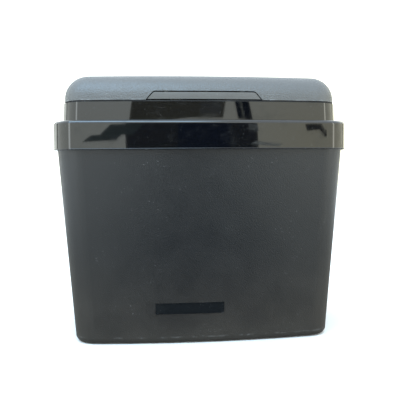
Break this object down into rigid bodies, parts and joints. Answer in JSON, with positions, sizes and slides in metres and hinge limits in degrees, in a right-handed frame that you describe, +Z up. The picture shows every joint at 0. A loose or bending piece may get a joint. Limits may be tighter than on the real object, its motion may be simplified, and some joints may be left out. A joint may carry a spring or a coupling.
{
  "type": "battery box",
  "caption": "Tapered plastic battery box with a glossy rim, a rear-hinged rounded lid, a push latch and a clamped battery inside.",
  "frame": {"origin": "middle of the bounding box's bottom face, on the surface the box stands on", "axes": "+Z up, -Y out of the front with the latch, +X to the right seen from the front"},
  "size_m": [0.351, 0.24, 0.313],
  "materials": {
    "textured_plastic": "fine moulded grain",
    "lid_plastic": "pebble grain",
    "tab_plastic": "smooth satin",
    "gloss_black": "polished",
    "label_gloss": "polished",
    "seal_rubber": "matte",
    "grommet_rubber": "matte",
    "mat_rubber": "ribbed",
    "filter_foam": "open-cell foam",
    "pin_steel": "drawn",
    "zinc_steel": "zinc plated",
    "spring_steel": "spring temper",
    "coated_steel": "powder coated",
    "battery_case_plastic": "moulded polypropylene",
    "battery_cover_plastic": "moulded polypropylene",
    "plug_plastic": "moulded",
    "post_lead": "cast lead",
    "cap_red": "moulded",
    "cap_black": "moulded",
    "liner_plastic": "satin"
  },
  "bodies": {
    "box": {"tub": "textured_plastic", "rim_frame": "gloss_black", "rim_screws": "zinc_steel", "rim_seal": "seal_rubber", "label_plate": "label_gloss", "cable_grommet_left": "grommet_rubber", "cable_grommet_right": "grommet_rubber", "hinge_pin_left": "pin_steel", "hinge_pin_right": "pin_steel", "latch_keeper": "zinc_steel", "keeper_screws": "zinc_steel", "vent_filter": "filter_foam", "battery_mat": "mat_rubber", "battery_case": "battery_case_plastic", "battery_cover": "battery_cover_plastic", "cell_plugs": "plug_plastic", "positive_post": "post_lead", "negative_post": "post_lead", "positive_cap_pin": "pin_steel", "negative_cap_pin": "pin_steel", "hold_down_bar": "coated_steel", "hold_down_rods": "zinc_steel", "hold_down_washers": "zinc_steel", "wing_nuts": "zinc_steel"},
    "lid": {"lid_shell": "lid_plastic", "lid_liner": "liner_plastic", "liner_screws": "zinc_steel", "latch_pin": "pin_steel", "latch_spring": "spring_steel"},
    "latch": {"latch_tab": "tab_plastic"},
    "positive_cap_body": {"positive_cap": "cap_red"},
    "negative_cap_body": {"negative_cap": "cap_black"}
  },
  "joints": [
    {"name": "lid_hinge", "type": "hinge", "parent": "box", "child": "lid", "pos_m": [0, 0.1125, 0.2815], "axis": [-1, 0, 0], "range_deg": [0, 105]},
    {"name": "latch_press", "type": "hinge", "parent": "lid", "child": "latch", "pos_m": [0, -0.1002, 0.289], "axis": [1, 0, 0], "range_deg": [0, 8], "stiffness_Nm_per_rad": 0.6},
    {"name": "positive_cap_hinge", "type": "hinge", "parent": "box", "child": "positive_cap_body", "pos_m": [0.104, -0.039, 0.2115], "axis": [-1, 0, 0], "range_deg": [0, 100]},
    {"name": "negative_cap_hinge", "type": "hinge", "parent": "box", "child": "negative_cap_body", "pos_m": [-0.104, -0.039, 0.2115], "axis": [-1, 0, 0], "range_deg": [0, 100]}
  ]
}
